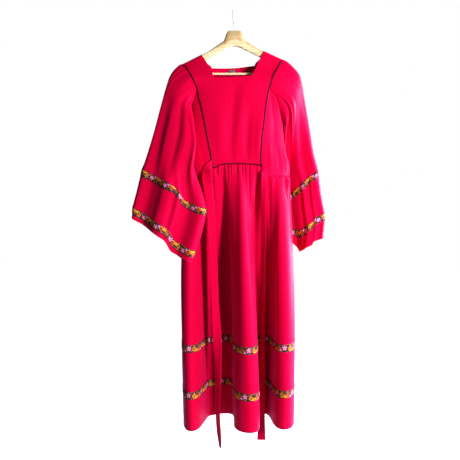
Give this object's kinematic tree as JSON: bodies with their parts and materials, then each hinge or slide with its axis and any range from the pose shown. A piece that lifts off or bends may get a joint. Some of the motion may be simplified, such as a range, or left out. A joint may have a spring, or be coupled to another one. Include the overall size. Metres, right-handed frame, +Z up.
{
  "type": "maxi dress on a wooden hanger",
  "caption": "Long gathered dress with a square neck, flared sleeves, printed bands, dark piping and two hanging ties, on a wooden hanger with a wire hook.",
  "frame": {"origin": "inside the crown of the hanger's hook, where a rail carries it", "axes": "+Z up the hanging dress, -Y out of its front, +X to the right of someone who looks at its front"},
  "size_m": [0.7025, 0.2869, 1.5774],
  "materials": {
    "cloth": "smooth, softly lustrous crimson crepe",
    "print": "matt printed cotton ribbon, gold, orange and pink scrolls on a dark ground",
    "piping": "dark maroon satin piping",
    "label": "bare dark woven label",
    "wood": "pale satin varnish",
    "wire": "bright plated wire"
  },
  "bodies": {
    "root": {"bodice_front_centre": "cloth", "bodice_side_left": "cloth", "bodice_side_right": "cloth", "bodice_back": "cloth", "skirt_front_centre": "cloth", "skirt_front_left": "cloth", "skirt_front_right": "cloth", "skirt_back": "cloth", "sleeve_left": "cloth", "sleeve_right": "cloth", "tie_left": "cloth", "tie_right": "cloth", "skirt_band_upper": "print", "skirt_band_lower": "print", "sleeve_left_band_upper": "print", "sleeve_left_band_lower": "print", "sleeve_right_band_upper": "print", "sleeve_right_band_lower": "print", "piping_left": "piping", "piping_right": "piping", "piping_waist": "piping", "neck_label": "label", "hanger_arms": "wood", "hanger_bar": "wood", "hanger_hook": "wire"}
  },
  "joints": []
}
